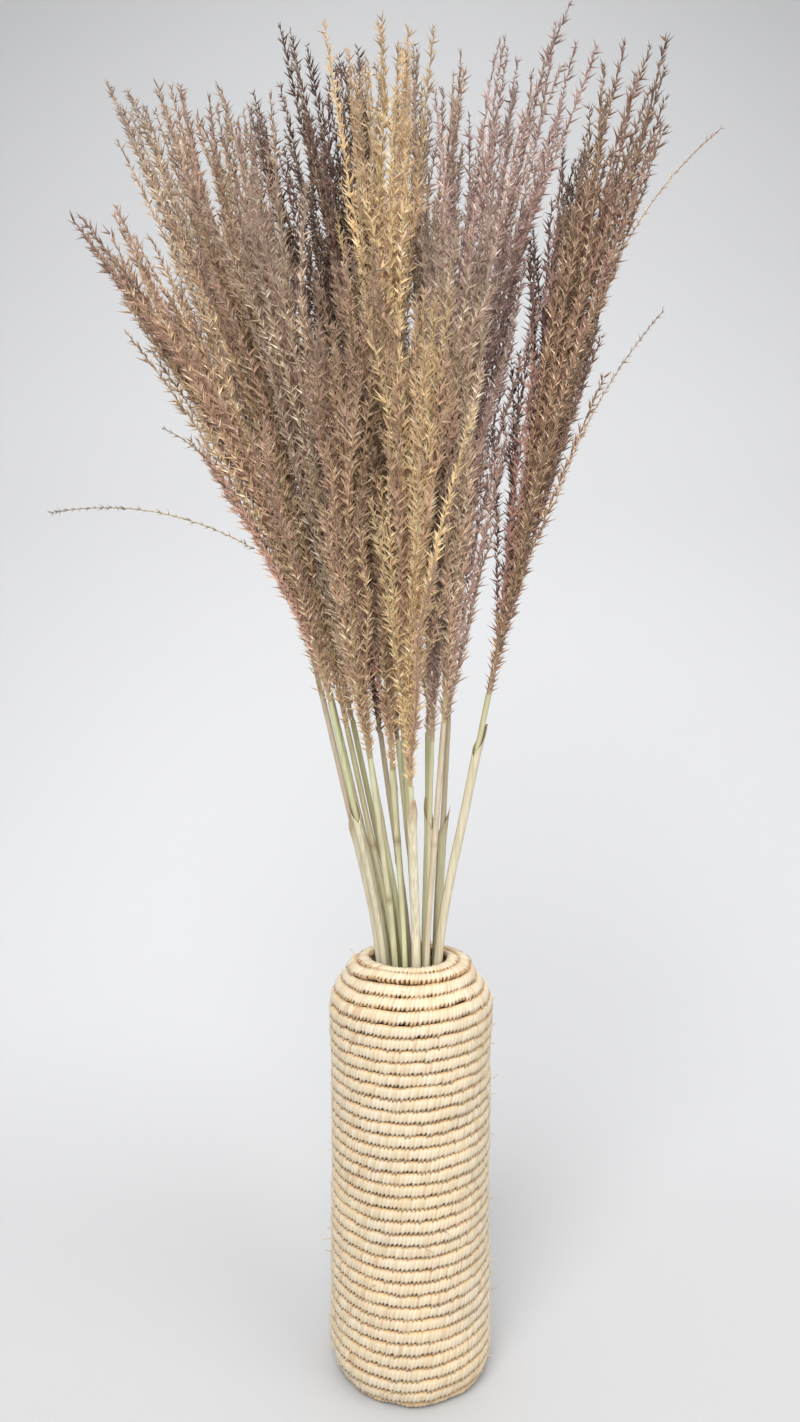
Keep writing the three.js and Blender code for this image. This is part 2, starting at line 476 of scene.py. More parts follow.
def makeVase(raffia, fibre):
    outline = coilRoute()
    run = lengthAlong(outline)
    slope = np.gradient(outline, run, axis=0)
    slope /= np.linalg.norm(slope, axis=1)[:, None]
    total = run[-1] / vaseSet["coilPitch"] * 2 * math.pi
    angles = [0.0]
    while angles[-1] < total:  # one guide point each few millimetres of cord
        radius = np.interp(angles[-1] / (2 * math.pi) * vaseSet["coilPitch"], run, outline[:, 0])
        angles.append(angles[-1] + vaseSet["guideStep"] / max(radius, vaseSet["tightest"]))
    angle = np.array(angles)
    travelled = angle / (2 * math.pi) * vaseSet["coilPitch"]
    radius, height = (np.interp(travelled, run, outline[:, k]) for k in (0, 1))
    across, rise = (np.interp(travelled, run, slope[:, k]) for k in (0, 1))
    cos, sin = np.cos(angle), np.sin(angle)
    centre = np.stack([radius * cos, radius * sin, height], 1)
    cord = lengthAlong(centre)
    guide = meshObject("vase_coil_guide", centre, edges=chain(len(centre)), attributes={
        "facing": ("FLOAT_VECTOR", np.stack([rise * cos, rise * sin, -across], 1)),
        "upward": ("FLOAT_VECTOR", np.stack([across * cos, across * sin, rise], 1)),
        "girth": ("FLOAT", np.clip((cord[-1] - cord) / vaseSet["rimTaper"], vaseSet["rimGirth"], 1))})
    columns = 2 * int(cord[-1] / vaseSet["strandWidth"])
    measures = {label: vaseSet[key] for label, key in coilMeasures.items()}
    coil = grow(guide, wrappedCoilTree(), {
        "Columns": columns, "Seed": vaseSet["seed"], "Finish": raffia, **measures})
    for vertex in coil.data.vertices:
        vertex.co.z = max(vertex.co.z, 0.0)
    finishPiece(coil, "raffia", "vase")
    print("vase coil:", len(coil.data.polygons), "faces,", columns // 2, "wrapped strands")
    makeLooseFibres(coil, fibre)


def wrappedCoilTree():  # a flat cord whose wrapping strands stand proud, one strand to two columns
    t = Tree("wrappedCoil", inputsOf("Float", *coilMeasures)
             + inputsOf("Int", "Columns", "Seed") + inputsOf("Material", "Finish"))
    g = t.given.outputs
    cord = t.add("GeometryNodeMeshToCurve", {"Mesh": g["Geometry"]})
    even = t.resample(cord, g["Columns"])
    index = t.add("GeometryNodeInputIndex")
    half = t.math("MULTIPLY", index, 0.5)
    strand = t.math("FLOOR", half)
    valley = t.math("MULTIPLY", t.math("SUBTRACT", half, strand), 2.0)
    marked = t.store(even, "strandTone", t.randomFloat(0.0, 1.0, g["Seed"], strand))
    for i, name in enumerate(("strandLift", "strandShift")):
        seed = t.math("ADD", g["Seed"], i + 1)
        marked = t.store(marked, name, t.randomFloat(-1.0, 1.0, seed, strand))
    marked = t.store(marked, "valley", valley)
    marked = t.store(marked, "middle", t.add("GeometryNodeInputPosition"), kind="FLOAT_VECTOR")
    marked = t.store(marked, "cordway", t.add("GeometryNodeInputTangent"), kind="FLOAT_VECTOR")
    section = t.ring(len(vaseSet["corners"]), 1.0)
    turn = t.math("MULTIPLY", t.out(t.add("GeometryNodeSplineParameter"), "Factor"), 2 * math.pi)
    sectioned = t.store(section, "turn", turn)
    tube = t.sweep(marked, sectioned)
    # the six corners: four on the outside, close to the grooves and the crest, two on the inside
    around = t.add("ShaderNodeFloatCurve", {"Value": t.math("DIVIDE", t.named("turn"), 2 * math.pi)})
    setSectionCurve(around)
    bearing = t.math("MULTIPLY", around, 2 * math.pi)
    lift = t.math("MULTIPLY", t.named("strandLift"), g["Relief Jitter"])
    rib = t.math("POWER", t.math("ABSOLUTE", t.math("SINE", bearing)), 2.0)
    under = t.math("MAXIMUM", t.math("MULTIPLY", t.math("SINE", bearing), -1.0), 0.0)
    depth = t.math("ADD", g["Relief"], t.math("MULTIPLY", rib, g["Groove Relief"]))
    crest = t.math("ADD", t.math("MULTIPLY", under, vaseSet["crest"]), vaseSet["crest"])
    proud = t.math("SUBTRACT", crest, t.named("valley"))
    relief = t.math("ADD", t.math("MULTIPLY", proud, depth), lift)
    thick = t.math("MULTIPLY", t.math("ADD", g["Half Thickness"], relief), t.named("girth"))
    # below, each strand hooks over the next turn and leaves a hole beside it
    uneven = t.math("MULTIPLY", t.named("strandLift"), vaseSet["hookJitter"])
    hook = t.math("ADD", t.math("SUBTRACT", uneven, t.named("valley")), vaseSet["hookRise"])
    hook = t.math("MULTIPLY", t.math("MULTIPLY", hook, g["Tooth"]), under)
    tall = t.math("MULTIPLY", t.math("ADD", g["Half Height"], hook), t.named("girth"))
    # fuller than round, so that the grooves stay shallow
    facingPart = t.math("COSINE", bearing)
    full = t.math("POWER", t.math("ABSOLUTE", facingPart), vaseSet["fullness"])
    outwards = t.math("MULTIPLY", t.math("MULTIPLY", full, t.math("SIGN", facingPart)), thick)
    upwards = t.math("MULTIPLY", t.math("SINE", bearing), tall)
    place = t.named("middle", "FLOAT_VECTOR")
    waver = t.add("ShaderNodeTexNoise", {"Vector": place, "Scale": vaseSet["waverScale"]})
    gain = t.math("MULTIPLY", g["Wander"], vaseSet["waverGain"])
    sway = t.math("MULTIPLY", t.math("SUBTRACT", t.out(waver, "Fac"), 0.5), gain)
    shift = t.math("MULTIPLY", t.named("strandShift"), g["Crowd"])
    lean = t.math("ADD", t.math("MULTIPLY", upwards, g["Slant"]), shift)
    moves = {"facing": t.math("ADD", outwards, sway), "upward": t.math("ADD", upwards, sway)}
    for name, amount in {**moves, "cordway": lean}.items():
        place = t.vector("ADD", place, t.vector("SCALE", t.named(name, "FLOAT_VECTOR"), scale=amount))
    shaped = t.add("GeometryNodeSetPosition", {"Geometry": tube, "Position": place})
    shaped = t.store(shaped, "grooveDepth", rib)
    shaped = t.store(shaped, "under", under)
    return t.finish(shaped, g["Finish"])


def setSectionCurve(node):
    curve = node.mapping.curves[0]
    turns = vaseSet["corners"]
    count = len(turns)
    curve.points[0].location = (0.0, turns[0])
    curve.points[1].location = ((count - 1) / count, turns[-1])
    for i in range(1, count - 1):
        curve.points.new(i / count, turns[i])
    for point in curve.points:
        point.handle_type = "VECTOR"
    node.mapping.update()


def makeLooseFibres(coil, material):  # ends of raffia that stick out of the wall
    t = Tree("looseFibres", inputsOf("Float", "Density") + inputsOf("Int", "Seed")
             + inputsOf("Material", "Finish"))
    g = t.given.outputs
    spread = t.add("GeometryNodeDistributePointsOnFaces", {
        "Mesh": g["Geometry"], "Density": g["Density"], "Seed": g["Seed"]}, distribute_method="RANDOM")
    strip = t.add("GeometryNodeCurveQuadraticBezier", {"Resolution": 3, **fibreSet["bend"]})
    blade = t.sweep(strip, t.ring(3, fibreSet["radius"]))
    tip = t.add("ShaderNodeCombineXYZ", {
        "X": t.randomFloat(*fibreSet["tip"], 3), "Z": t.randomFloat(*fibreSet["spin"], 4)})
    spin = t.add("FunctionNodeRotateRotation", {
        "Rotation": t.out(spread, "Rotation"),
        "Rotate By": t.add("FunctionNodeEulerToRotation", {0: tip})}, rotation_space="LOCAL")
    placed = t.add("GeometryNodeInstanceOnPoints", {
        "Points": t.out(spread, "Points"), "Instance": blade, "Rotation": spin,
        "Scale": t.randomFloat(*fibreSet["scale"], 5)})
    tree = t.finish(placed, g["Finish"])
    # only the outer skin of the wall carries ends, above the foot
    verts = [v.co[:] for v in coil.data.vertices]
    low, high = fibreSet["low"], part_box("vase")[1].z - fibreSet["belowRim"]
    skin = [p.vertices[:] for p in coil.data.polygons
            if low < p.center.z < high and p.normal.x * p.center.x + p.normal.y * p.center.y > 0]
    kept = skin[::max(1, len(skin) // fibreSet["faces"])]
    host = meshObject("vase_fibres_guide", verts, kept)
    fibres = grow(host, tree, {
        "Density": fibreSet["density"], "Seed": fibreSet["seed"], "Finish": material})
    finishPiece(fibres, "raffia")
    print("loose fibre faces:", len(fibres.data.polygons))


def makeRaffia():
    f = Finish("wrappedRaffia", 0.62, Specular_IOR_Level=0.3, Sheen_Weight=0.15)
    strand = f.attribute("strandTone")
    base = f.ramp(strand, (0.0, srgb(196, 181, 155)), (0.35, srgb(209, 198, 174)),
                  (0.7, srgb(218, 209, 190)), (0.93, srgb(202, 184, 161)), (1.0, srgb(184, 157, 127)))
    grain = f.noise(900, stretch=(1, 1, 0.08), detail=2)
    grained = f.mix(f.span(grain, 0.3, 0.7, 0.0, 0.35), base, srgb(214, 188, 146))
    cloud = f.noise(22, detail=2)
    toned = f.mix(f.span(cloud, 0.35, 0.7, 0.0, 0.3), grained, srgb(226, 200, 158))
    valley = f.attribute("valley")
    # painted shade: the sunken column between neighbouring strands is painted darker
    valleyShaded = f.mix(f.span(valley, 0.4, 1.0, 0.0, 0.34), toned, srgb(186, 152, 106))
    # painted shade: the grooves between turns are painted a darker, warmer brown so that their shade reads
    # brown
    grooveShaded = f.mix(f.span(f.attribute("grooveDepth"), 0.3, 0.9, 0.0, 0.8), valleyShaded, srgb(206, 158, 92))
    # painted shade: the holes beside the hooked strands, on the underside of each turn, are painted a very
    # dark brown, more in some strands than others
    holeShade = f.times(f.span(f.attribute("under"), 0.4, 0.8), f.span(valley, 0.35, 0.75))
    uneven = f.times(holeShade, f.span(strand, 0.05, 0.6, 0.3, 1.0))
    f.colour(f.mix(uneven, grooveShaded, srgb(86, 50, 22)))
    f.bump(grain, 0.25, 0.0004)
    return f.material


def makeFibreFinish():
    f = Finish("raffiaFibre", 0.6, Specular_IOR_Level=0.3)
    f.colour(f.ramp(f.noise(60), (0.3, srgb(226, 205, 165)), (0.7, srgb(198, 170, 124))))
    return f.material


makeVase(makeRaffia(), makeFibreFinish())


# culms: jointed straw stems

culmSet = {
    "radius": 2.5 * mm, "stations": 44, "sides": 8, "taper": 0.18, "seed": 21,
    "firstNode": (60, 120),  # in millimetres from the foot
    "nodeEvery": (120 * mm, 175 * mm), "bareTop": 20 * mm, "nodeSwell": 0.22, "nodeLength": 3 * mm,
}


def culmTree():  # a straw along its route, swollen at its nodes, thinner towards the plume
    t = Tree("jointedStraw", inputsOf("Int", "Stations", "Sides")
             + inputsOf("Float", "Radius") + inputsOf("Material", "Finish"))
    g = t.given.outputs
    route = t.add("GeometryNodeMeshToCurve", {"Mesh": g["Geometry"]})
    even = t.resample(route, g["Stations"])
    return t.finish(t.swollenTube(even, t.ring(g["Sides"], g["Radius"])), g["Finish"])


def makeCulm(tree, name, finish, rng):  # also returns its route, which its sheath follows
    centres, _ = ringsOf("culm_" + name)
    route = along(centres, culmSet["stations"])
    run = lengthAlong(route)
    girth = 1 - culmSet["taper"] * run / run[-1]
    tone = np.full(len(route), rng.uniform(0, 1))
    joint = np.zeros(len(route))
    at = rng.uniform(*culmSet["firstNode"]) * mm
    while at < run[-1] - culmSet["bareTop"]:
        near = np.exp(-((run - at) / (2 * culmSet["nodeLength"])) ** 2)
        girth += culmSet["nodeSwell"] * near
        joint += near
        at += rng.uniform(*culmSet["nodeEvery"])
    guide = meshObject(f"culm_{name}_straw_guide", route, edges=chain(len(route)), attributes={
        "girth": ("FLOAT", girth), "tone": ("FLOAT", tone), "joint": ("FLOAT", joint)})
    piece = grow(guide, tree, {
        "Stations": culmSet["stations"], "Sides": culmSet["sides"], "Radius": culmSet["radius"],
        "Finish": finish})
    finishPiece(piece, "culm", "culm_" + name)
    return route, run


def makeStrawFinish():
    f = Finish("dryStraw", 0.42, Specular_IOR_Level=0.45, Coat_Weight=0.08)
    tone = f.attribute("tone")
    base = f.ramp(tone, (0.0, srgb(200, 200, 158)), (0.3, srgb(184, 186, 142)),
                  (0.5, srgb(212, 208, 176)), (0.72, srgb(196, 176, 156)), (1.0, srgb(166, 166, 118)))
    streak = f.noise(420, stretch=(1, 1, 0.02), detail=2)
    streaked = f.mix(f.span(streak, 0.35, 0.7, 0.0, 0.55), base, srgb(150, 140, 104))
    blush = f.noise(9, stretch=(1, 1, 0.6), detail=1)
    blushed = f.mix(f.span(blush, 0.5, 0.75, 0.0, 0.45), streaked, srgb(196, 170, 152))
    ringed = f.mix(f.span(f.attribute("joint"), 0.5, 1.0, 0.0, 0.7), blushed, srgb(128, 104, 70))
    f.colour(ringed)
    f.bump(streak, 0.3, 0.0003)
    return f.material


# leaf sheaths

sheathSet = {
    "radius": 3.25 * mm, "thickness": 0.25 * mm, "below": 292 * mm, "stations": 30, "arc": 14,
    "wrap": 400, "point": 26 * mm, "pointShare": 0.06, "pointBend": 1.5, "flare": 1.6 * mm,
    "overlap": 1.5,  # how many thicknesses the sheet's one edge lies outside the other
}


def makeSheath(name, route, run, finish, rng):  # a thin sheet curled round its culm
    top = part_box("sheath_" + name)[1].z
    low, high = np.interp([sheathSet["below"], top], route[:, 2], run)
    half, mouth = sheathSet["stations"] // 2, high - sheathSet["point"]
    levels = np.concatenate([np.linspace(low, mouth, half), np.linspace(mouth, high, half + 1)[1:]])
    start = rng.uniform(0, 360)
    own = rng.uniform(0, 1)
    least, bend = sheathSet["pointShare"], sheathSet["pointBend"]
    verts, edge = [], []
    for layer in (0, 1):
        for level in levels:
            centre = np.array([np.interp(level, run, route[:, k]) for k in range(3)])
            # the mouth of the sheath narrows to one point
            openness = min(1.0, max(0.0, (high - level) / sheathSet["point"]))
            wrap = sheathSet["wrap"] * (least + (1 - least) * openness ** bend)
            curl = sheathSet["flare"] * (1 - openness) ** bend
            for i in range(sheathSet["arc"]):
                t = i / (sheathSet["arc"] - 1)
                angle = math.radians(start + (t - 0.5) * wrap)
                spiral = sheathSet["thickness"] * sheathSet["overlap"] * t
                radius = sheathSet["radius"] + spiral + curl - layer * sheathSet["thickness"]
                verts.append(centre + np.array([math.cos(angle), math.sin(angle), 0]) * radius)
                edge.append(1 - openness)
    rows, columns = len(levels), sheathSet["arc"]
    faces = []

    def at(layer, row, column):
        return (layer * rows + row) * columns + column

    def cell(layer, row, column):
        return [at(layer, row + i, column + j) for i, j in ((0, 0), (0, 1), (1, 1), (1, 0))]

    for row in range(rows - 1):
        for column in range(columns - 1):
            faces.append(cell(0, row, column))
            first, *others = cell(1, row, column)
            faces.append([first, *others[::-1]])
        for column, turn in ((0, 1), (columns - 1, -1)):
            side = (at(0, row, column), at(0, row + 1, column), at(1, row + 1, column), at(1, row, column))
            faces.append(side[::turn])
    for column in range(columns - 1):
        for row, turn in ((0, -1), (rows - 1, 1)):
            end = (at(0, row, column), at(0, row, column + 1), at(1, row, column + 1), at(1, row, column))
            faces.append(end[::turn])
    piece = meshObject(f"sheath_{name}_leaf", verts, faces, attributes={
        "tone": ("FLOAT", np.full(len(verts), own)), "joint": ("FLOAT", edge)})
    piece.data.materials.append(finish)
    finishPiece(piece, "leaf_sheath", "sheath_" + name)


def makeSheathFinish():
    f = Finish("leafSheath", 0.5, Specular_IOR_Level=0.35)
    base = f.ramp(f.attribute("tone"), (0.0, srgb(208, 205, 168)), (0.5, srgb(196, 186, 160)),
                  (1.0, srgb(216, 206, 180)))
    vein = f.noise(700, stretch=(1, 1, 0.012), detail=2)
    veined = f.mix(f.span(vein, 0.4, 0.65, 0.0, 0.5), base, srgb(158, 146, 112))
    dry = f.mix(f.span(f.attribute("joint"), 0.1, 1.0, 0.0, 0.75), veined, srgb(150, 112, 74))
    f.colour(dry)
    f.bump(vein, 0.5, 0.0004)
    return f.material


strawFinish = makeStrawFinish()
sheathFinish = makeSheathFinish()
stemNames = sorted(n.removeprefix("culm_") for n in frame["nodes"] if n.startswith("culm_"))
strawTree = culmTree()
stemRandom = np.random.default_rng(culmSet["seed"])
strawRoutes = {stem: makeCulm(strawTree, stem, strawFinish, stemRandom) for stem in stemNames}
for stem in stemNames:
    if "sheath_" + stem in frame["nodes"]:
        makeSheath(stem, *strawRoutes[stem], sheathFinish, stemRandom)
print("culms and leaf sheaths:", len(strawRoutes))


# plumes: racemes set with silky spikelets

# the "part" attribute says which part of a raceme a point belongs to
partOf = {"rachis": 0.0, "glume": 0.5, "hairRoot": 0.8, "hairTip": 1.0}
spikeletSet = {
    "variants": 8, "seed": 5, "rootAside": 0.0002, "rootRise": 0.0012,
    "glumeLength": 5.6 * mm, "glumeWidth": 1.15 * mm, "lengthJitter": (0.85, 1.15),
    "splay": 40, "splayJitter": (0.75, 1.25), "tilt": 0.12,
    "hairs": 2, "hairLength": (5.5 * mm, 9 * mm), "hairWidth": 1.55 * mm, "hairLift": 0.0003,
    "fan": (5, 66), "sideways": 48, "sidewaysGain": 1.3,
}
plumeSet = {
    "seed": 77, "points": 14, "levels": 60, "nodesPerPlume": 1560, "leastRacemes": 9,
    "spacing": 4.7 * mm, "sizeJitter": 0.32, "rachis": 0.35 * mm, "rachisPoints": 9,
    # the axis, in shares of the plume's length, and how much thicker than a rachis it is
    "axis": (-0.004, 0.78), "axisGirth": 5.5, "axisTip": 0.8, "axisRising": 0.3, "axisTone": 0.4,
    "axisBlush": 0.3,
    # where racemes start and end, in shares of the plume's length
    "lastStart": 0.66, "startBend": 0.95, "reach": (0.34, 0.58), "shortfall": 0.09,
    "crownFrom": 0.42, "crownTop": 0.98, "crownDepth": 0.23, "crownBend": 1.9,
    # how far they stand out from the axis
    "bushiness": 2.0, "fullWidthAt": 0.5, "swellBend": 0.6, "crown": 0.95,
    "leastSpread": 0.12, "spreadBend": 0.55, "sweepBend": 1.6, "ragged": 9 * mm, "raggedRange": (-0.4, 1.0),
    "goldenAngle": 2.39996, "bearingJitter": 0.5, "twist": 0.35,
    "waver": 5 * mm, "waverTurns": (3, 7), "waverStart": (0, 6), "droop": 11 * mm, "droopRange": (0.2, 1),
    "nodWithPlume": 0.2, "nodOutwards": 0.5, "nodEase": 30 * mm, "sideRoom": 3 * mm, "easeFrom": 0.8,
    # the size of the spikelets: at the raceme's foot, gained along it and lost again at its tip
    "footSize": 1.06, "gain": 0.14, "tipLoss": 0.45, "tipBend": 6,
}
straySet = {"scale": 0.6, "thinning": 0.25, "fit": 3, "rising": 0.35, "blush": 0.4}
# how each plume is dressed: its finish, its bushiness and its number of spikelets, 1.0 being the usual
dress = {
    "front_left": ("brown", 1.0, 1.0), "front_mid_left": ("brown", 0.9, 0.9),
    "front_mid_right": ("gold", 0.9, 1.0), "front_right": ("grey", 1.0, 1.0),
    "mid_far_left": ("brown", 0.68, 1.0), "mid_left": ("brown", 1.0, 1.0),
    "mid_centre_left": ("grey", 1.0, 1.0), "mid_centre": ("gold", 0.85, 1.2),
    "mid_right": ("mauve", 1.0, 1.0), "mid_far_right": ("umber", 0.8, 1.05),
    "back_far_left": ("grey", 0.95, 1.15), "back_left": ("brown", 1.0, 1.15),
    "back_centre_left": ("grey", 1.0, 1.0), "back_centre": ("dark", 1.2, 1.5),
    "back_mid": ("dark", 1.2, 1.45), "back_centre_right": ("grey", 1.0, 1.0),
    "back_right": ("mauve", 1.15, 1.05), "rear_right": ("dark", 1.15, 1.0),
    "rear_centre": ("grey", 1.0, 0.8),
}


def makeSpikeletPairs():  # two glumes on one node, each with its silky hairs, in several variants
    rng = np.random.default_rng(spikeletSet["seed"])
    store = bpy.data.collections.new("spikelets")
    for variant in range(spikeletSet["variants"]):
        verts, faces, part = [], [], []
        for side in (-1, 1):
            splay = math.radians(spikeletSet["splay"] * rng.uniform(*spikeletSet["splayJitter"])) * side
            tilt = rng.uniform(-spikeletSet["tilt"], spikeletSet["tilt"])
            direction = Vector((math.sin(splay), tilt, math.cos(splay))).normalized()
            root = Vector((spikeletSet["rootAside"] * side, 0, spikeletSet["rootRise"] * (side + 1)))
            length = spikeletSet["glumeLength"] * rng.uniform(*spikeletSet["lengthJitter"])
            addNeedle(verts, faces, root, direction, length, spikeletSet["glumeWidth"] / 2)
            part += [partOf["glume"]] * 4
            for _ in range(spikeletSet["hairs"]):
                fan = math.radians(rng.uniform(*spikeletSet["fan"])) * side
                aside = math.radians(rng.uniform(-spikeletSet["sideways"], spikeletSet["sideways"]))
                across = math.sin(fan) * math.sin(aside) * spikeletSet["sidewaysGain"]
                hair = Vector((math.sin(fan) * math.cos(aside), across, math.cos(fan))).normalized()
                reach = rng.uniform(*spikeletSet["hairLength"])
                start = root + direction * spikeletSet["hairLift"]
                addNeedle(verts, faces, start, hair, reach, spikeletSet["hairWidth"] / 2)
                part += [partOf["hairRoot"]] * 3 + [partOf["hairTip"]]
        name = f"spikelet_pair_{variant}"
        pair = meshObject(name, verts, faces, attributes={"part": ("FLOAT", part)})
        scene.collection.objects.unlink(pair)
        store.objects.link(pair)
    return store


def addNeedle(verts, faces, root, direction, length, radius):  # a closed spike with three sides
    first = len(verts)
    u = direction.orthogonal().normalized()
    v = direction.cross(u)
    for i in range(3):
        a = i * 2 * math.pi / 3
        verts.append(root + (u * math.cos(a) + v * math.sin(a)) * radius)
    verts.append(root + direction * length)
    faces.append((first, first + 2, first + 1))
    for i in range(3):
        faces.append((first + i, first + (i + 1) % 3, first + 3))


def racemeTree(spikelets):  # spikelets at even spacing along each guide, on a thin rachis
    t = Tree("spikeletRacemes", inputsOf("Float", "Spacing", "Rachis", "Size Jitter")
             + inputsOf("Int", "Seed") + inputsOf("Material", "Finish"))
    g = t.given.outputs
    racemes = t.add("GeometryNodeMeshToCurve", {"Mesh": g["Geometry"]})
    every = {"Curve": racemes, "Length": g["Spacing"]}
    nodes = t.add("GeometryNodeResampleCurve", every, mode="LENGTH")
    rising = t.add("GeometryNodeInputTangent")
    upright = t.add("FunctionNodeAlignRotationToVector", {"Vector": rising}, axis="Z")
    bearing = t.add("ShaderNodeCombineXYZ", {"Z": t.randomFloat(0.0, 2 * math.pi, g["Seed"])})
    spin = t.add("FunctionNodeEulerToRotation", {0: bearing})
    both = {"Rotation": upright, "Rotate By": spin}
    turned = t.add("FunctionNodeRotateRotation", both, rotation_space="LOCAL")
    least, most = (t.out(t.math(way, 1.0, g["Size Jitter"])) for way in ("SUBTRACT", "ADD"))
    jitter = t.randomFloat(least, most, t.math("ADD", g["Seed"], 7))
    size = t.math("MULTIPLY", t.named("size"), jitter)
    source = t.add("GeometryNodeCollectionInfo", {
        "Collection": spikelets, "Separate Children": True, "Reset Children": True})
    dressed = t.add("GeometryNodeInstanceOnPoints", {
        "Points": nodes, "Instance": source, "Pick Instance": True, "Rotation": turned, "Scale": size})
    axis = t.resample(racemes, plumeSet["rachisPoints"])
    rachis = t.store(t.swollenTube(axis, t.ring(3, g["Rachis"])), "part", partOf["rachis"])
    joined = t.add("GeometryNodeJoinGeometry")
    for geometry in (dressed, rachis):
        t.put(joined, 0, geometry)
    return t.finish(joined, g["Finish"])


def easeWithin(values, low, high):  # keeps values between the two limits without a sharp stop
    middle, half, free = (low + high) / 2, (high - low) / 2, plumeSet["easeFrom"]
    share = (values - middle) / half
    room = 1 - free
    bent = np.sign(share) * (free + room * np.tanh((np.abs(share) - free) / room))
    return middle + half * np.where(np.abs(share) > free, bent, share)


def racemeGuides(centres, radii, rng, bushiness, nodesWanted):
    # a brush: racemes leave the main axis one after another and sweep up round it
    p = plumeSet
    levels = along(np.column_stack([centres, radii]), p["levels"])
    run = lengthAlong(levels[:, :3])
    length = run[-1]
    girth = radii.max() * bushiness
    count = max(p["leastRacemes"], int(nodesWanted * p["spacing"] / (sum(p["reach"]) / 2 * length)))
    outwards = (levels[-1, :3] - levels[0, :3]) * (1, 1, 0)
    plumeNod = outwards / (np.linalg.norm(outwards) + p["nodEase"])
    t = np.linspace(0, 1, p["points"])
    room = cadBox[0].y - p["sideRoom"], cadBox[1].y + p["sideRoom"]
    verts, edges = [], []
    fields = {"rising": [], "tone": [], "blush": [], "size": [], "girth": []}

    def addGuide(points, *values):
        edges.extend(chain(len(points), len(verts)))
        verts.extend(points)
        for key, value in zip(fields, values):
            fields[key].extend(np.broadcast_to(value, len(points)))

    def onAxis(s):
        return np.array([np.interp(s * length, run, levels[:, i]) for i in range(3)]).T

    s = np.linspace(*p["axis"], p["points"])
    foot = np.outer(np.minimum(s, 0) * length, (0, 0, 1))
    addGuide(onAxis(s) + foot, p["axisRising"] * t, p["axisTone"], p["axisBlush"], 1.0,
             p["axisGirth"] * (1 - t) ** 3 + p["axisTip"])
    for k in range(count):
        share = (k + rng.uniform(0, 1)) / count
        start = p["lastStart"] * share ** p["startBend"]
        end = min(start + rng.uniform(*p["reach"]), 1.0 - p["shortfall"] * rng.uniform(0, 1) ** 2)
        if share > p["crownFrom"]:  # the last ones all reach the crown
            end = p["crownTop"] - p["crownDepth"] * rng.uniform(0, 1) ** p["crownBend"]
        s = start + (end - start) * t
        bearing = k * p["goldenAngle"] + rng.uniform(-p["bearingJitter"], p["bearingJitter"])
        # how wide the brush is at this height
        swell = np.minimum(1, np.maximum(s, 0) / p["fullWidthAt"]) ** p["swellBend"]
        swell *= 1 - (1 - p["crown"]) * np.maximum(s - p["fullWidthAt"], 0) * 2
        final = girth * rng.uniform(p["leastSpread"], 1.0) ** p["spreadBend"]
        spread = np.minimum(final * (1 - (1 - t) ** p["sweepBend"]), girth * swell)
        spread = spread + p["ragged"] * rng.uniform(*p["raggedRange"]) * t ** 3
        a = bearing + rng.uniform(-p["twist"], p["twist"]) * t
        phase = t * rng.uniform(*p["waverTurns"]) + rng.uniform(*p["waverStart"])
        wave = p["waver"] * np.sin(phase) * t
        side = np.stack([np.cos(a), np.sin(a), 0 * a], 1)
        cross = np.stack([-np.sin(a), np.cos(a), 0 * a], 1)
        nod = rng.uniform(0, 2 * math.pi)
        tip = np.array([math.cos(nod), math.sin(nod), 0])
        tip = p["nodWithPlume"] * plumeNod + tip + side[-1] * p["nodOutwards"]
        droop = np.outer(p["droop"] * rng.uniform(*p["droopRange"]) * t ** 3, tip)
        points = onAxis(s) + side * spread[:, None] + cross * wave[:, None] + droop
        points[:, 1] = easeWithin(points[:, 1], *room)
        tone, blush = rng.uniform(0, 1, 2)
        size = p["footSize"] + p["gain"] * t - p["tipLoss"] * t ** p["tipBend"]
        addGuide(points, 0.5 * t + 0.5 * np.clip(s, 0, 1), tone, blush, size, 1.0)
    return verts, edges, {key: ("FLOAT", values) for key, values in fields.items()}


def growRacemes(tree, name, node, verts, edges, attributes, finish, rng):
    guide = meshObject(name + "_guide", verts, edges=edges, attributes=attributes)
    piece = grow(guide, tree, {
        "Spacing": plumeSet["spacing"], "Rachis": plumeSet["rachis"], "Size Jitter": plumeSet["sizeJitter"],
        "Seed": int(rng.integers(1, 9999)), "Finish": finish})
    return finishPiece(piece, "plume", node, smooth=False)


def makePlume(tree, name, rng):
    tint, spread, share = dress[name]
    node = "plume_" + name
    verts, edges, attributes = racemeGuides(
        *ringsOf(node), rng, plumeSet["bushiness"] * spread, plumeSet["nodesPerPlume"] * share)
    piece = growRacemes(
        tree, node + "_racemes", node, verts, edges, attributes, plumeFinishes[tint], rng)
    return triangles(piece)


def triangles(piece):
    return sum(len(p.vertices) - 2 for p in piece.data.polygons)


def makeStray(tree, node, finish, rng):  # one raceme on its own, along the longest way of its solid
    points = nodeVertices(node)
    way = int(np.argmax(np.ptp(points, axis=0)))
    s = np.linspace(points[:, way].min(), points[:, way].max(), plumeSet["points"])
    route = np.empty((len(s), 3))
    route[:, way] = s
    for k in {0, 1, 2} - {way}:
        route[:, k] = np.polyval(np.polyfit(points[:, way], points[:, k], straySet["fit"]), s)
    if np.hypot(*route[0, :2]) > np.hypot(*route[-1, :2]):
        route = route[::-1]
    t = np.linspace(0, 1, len(s))
    rising, size = straySet["rising"], straySet["scale"] * (1 - straySet["thinning"] * t)
    fields = {"rising": rising + (1 - rising) * t, "tone": np.full(len(s), rng.uniform(0, 1)),
              "blush": np.full(len(s), straySet["blush"]), "size": size, "girth": np.ones(len(s))}
    attributes = {key: ("FLOAT", values) for key, values in fields.items()}
    growRacemes(tree, node + "_spray", node, route, chain(len(s)), attributes, finish, rng)


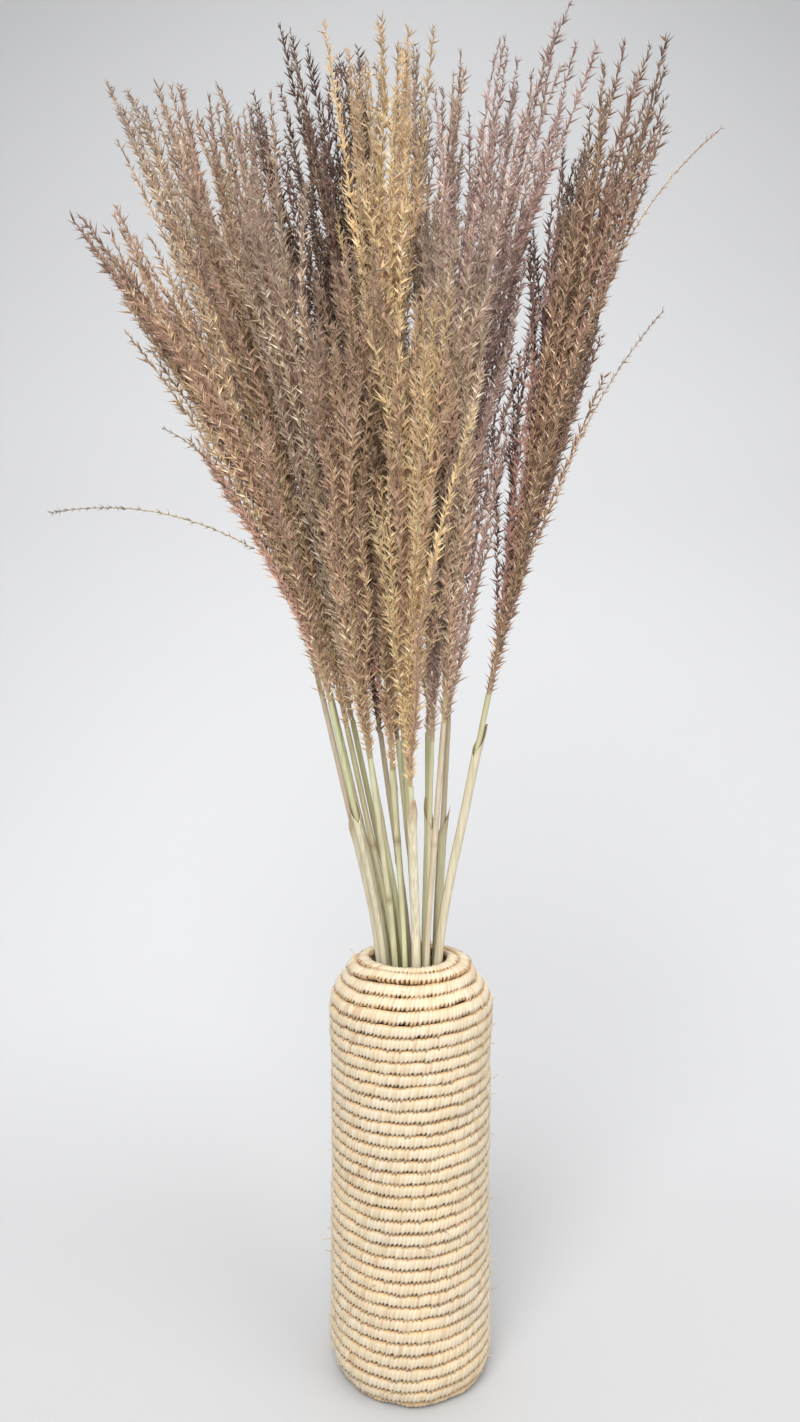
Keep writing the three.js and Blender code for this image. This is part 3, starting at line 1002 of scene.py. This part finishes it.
def makePlumeFinish(name, glume, hair, depth, tip):
    f = Finish("plume" + name.capitalize(), 0.7, Specular_IOR_Level=0.25, Sheen_Weight=0.2)
    tone = f.attribute("tone")
    rising = f.attribute("rising")
    part = f.attribute("part")
    # the hairs darken towards their roots: partly their own colour, partly painted shade deep in the plume
    silkWithRootShade = f.mix(f.span(part, partOf["hairRoot"], partOf["hairTip"]), srgb(*depth), srgb(*hair))
    body = f.mix(f.span(part, 0.65, 0.7), srgb(*glume), silkWithRootShade)
    threaded = f.mix(f.span(part, 0.0, 0.3), srgb(168, 150, 116), body)
    blushed = f.mix(f.span(f.attribute("blush"), 0.5, 1.0, 0.0, 0.62), threaded, srgb(172, 128, 122))
    aged = f.mix(f.span(rising, 0.62, 1.0, 0.0, 0.8), blushed, srgb(*tip))
    # random tone per raceme, times painted light: the lower part of each plume is painted up to a seventh
    # lighter where the plumes shade each other
    shade = f.times(f.span(tone, 0.0, 1.0, 0.72, 1.15), f.span(rising, 0.0, 0.6, 1.14, 0.98))
    f.colour(f.mix(1.0, aged, f.grey(shade), blend="MULTIPLY"))
    return f.material


# the screen colours of each finish: its glumes, hairs, the hairs' darker roots deep between them (partly
# their own colour, partly painted shade) and the plume's tip
plumeColours = {
    "brown": ((250, 234, 198), (212, 182, 144), (164, 128, 94), (122, 97, 82)),
    "gold": ((255, 247, 210), (238, 210, 160), (208, 172, 120), (156, 128, 98)),
    "mauve": ((254, 240, 228), (208, 182, 168), (160, 126, 114), (114, 90, 84)),
    "grey": ((255, 244, 222), (216, 194, 166), (174, 142, 114), (122, 100, 86)),
    "umber": ((232, 208, 174), (178, 144, 112), (126, 92, 70), (104, 82, 70)),
    # the back plumes' finish: partly darker plumes, partly painted shade for the back of the bunch
    "dark": ((172, 144, 122), (110, 84, 66), (84, 58, 44), (80, 60, 50)),
}
plumeFinishes = {name: makePlumeFinish(name, *colours) for name, colours in plumeColours.items()}
pairs = makeSpikeletPairs()
racemes = racemeTree(pairs)
plumeRandom = np.random.default_rng(plumeSet["seed"])
plumeTriangles = [makePlume(racemes, stem, plumeRandom) for stem in stemNames]
for node in sorted(n for n in frame["nodes"] if n.startswith("stray_raceme")):
    makeStray(racemes, node, plumeFinishes["grey"], plumeRandom)
for pair in list(pairs.objects):
    bpy.data.objects.remove(pair)
bpy.data.collections.remove(pairs)
print("plumes:", sum(plumeTriangles), "triangles, the largest", max(plumeTriangles))

allPieces = [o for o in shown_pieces() if o.type == "MESH"]
print("pieces:", len(allPieces), "triangles in all:", sum(triangles(o) for o in allPieces))
